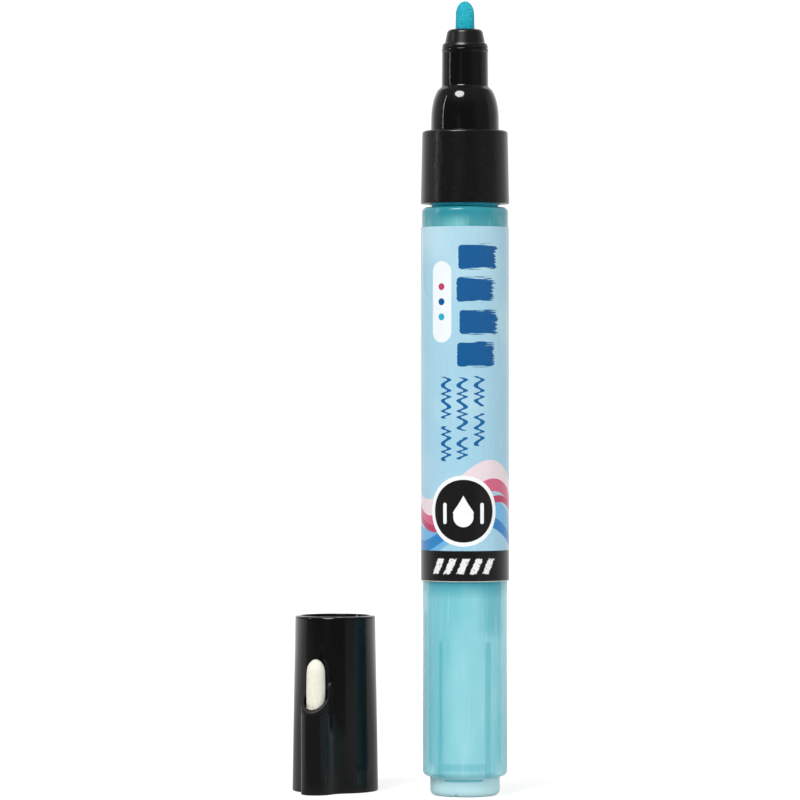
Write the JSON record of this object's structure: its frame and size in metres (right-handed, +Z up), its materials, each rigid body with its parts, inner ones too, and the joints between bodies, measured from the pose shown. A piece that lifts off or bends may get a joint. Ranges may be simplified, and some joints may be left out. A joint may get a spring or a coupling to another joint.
{
  "type": "paint marker",
  "caption": "Paint marker with a translucent barrel, a valve worked by its nib and a loose mixing ball, standing nib up beside its pull-off cap, which holds a spare nib.",
  "frame": {"origin": "centre of the tail plug's flat foot, on the surface that the marker stands on", "axes": "+Z up along the marker's axis to the nib; the cap stands towards -X and a little towards +Y; the spare nib's tube faces -Y"},
  "size_m": [0.0379, 0.0242, 0.1377],
  "materials": {
    "barrel_plastic": "moulded translucent polypropylene, satin gloss",
    "label_film": "printed film, soft gloss",
    "plug_plastic": "moulded translucent polypropylene, satin gloss",
    "ball_steel": "polished steel ball",
    "collar_plastic": "satin black polypropylene",
    "gasket_rubber": "white foamed seal",
    "black_gloss_plastic": "gloss black polypropylene",
    "nib_fibre": "pressed fibre soaked with turquoise paint",
    "white_plastic": "natural polypropylene",
    "seat_rubber": "black rubber",
    "spring_steel": "drawn stainless wire",
    "dry_nib_fibre": "dry pressed fibre"
  },
  "bodies": {
    "marker_body": {"barrel": "barrel_plastic", "label_sleeve": "label_film", "tail_plug": "plug_plastic", "collar": "collar_plastic", "neck_gasket": "gasket_rubber", "nozzle": "black_gloss_plastic", "nib_holder": "black_gloss_plastic", "valve_housing": "white_plastic", "valve_seat": "seat_rubber", "valve_spring": "spring_steel", "spring_retainer": "white_plastic"},
    "valve": {"valve_stem": "white_plastic"},
    "nib": {"nib": "nib_fibre"},
    "mixing_ball": {"mixing_ball": "ball_steel"},
    "cap": {"cap_shell": "black_gloss_plastic", "inner_cap": "white_plastic"},
    "spare_nib": {"spare_nib": "dry_nib_fibre"}
  },
  "joints": [
    {"name": "nib_press", "type": "slide", "parent": "marker_body", "child": "valve", "axis": [0, 0, 1], "range_m": [-0.002, 0], "stiffness_N_per_m": 300, "springref_m": 0.003, "deforming": ["valve_spring"]},
    {"name": "nib_pull", "type": "slide", "parent": "valve", "child": "nib", "axis": [0, 0, 1], "range_m": [0, 0.018]},
    {"name": "ball_travel", "type": "slide", "parent": "marker_body", "child": "mixing_ball", "axis": [0, 0, 1], "range_m": [0, 0.0848]},
    {"name": "cap_lift", "type": "slide", "parent": "marker_body", "child": "cap", "axis": [0, 0, 1], "range_m": [0, 0.145]},
    {"name": "spare_nib_pull", "type": "slide", "parent": "cap", "child": "spare_nib", "axis": [0, 0, 1], "range_m": [0, 0.018]}
  ]
}
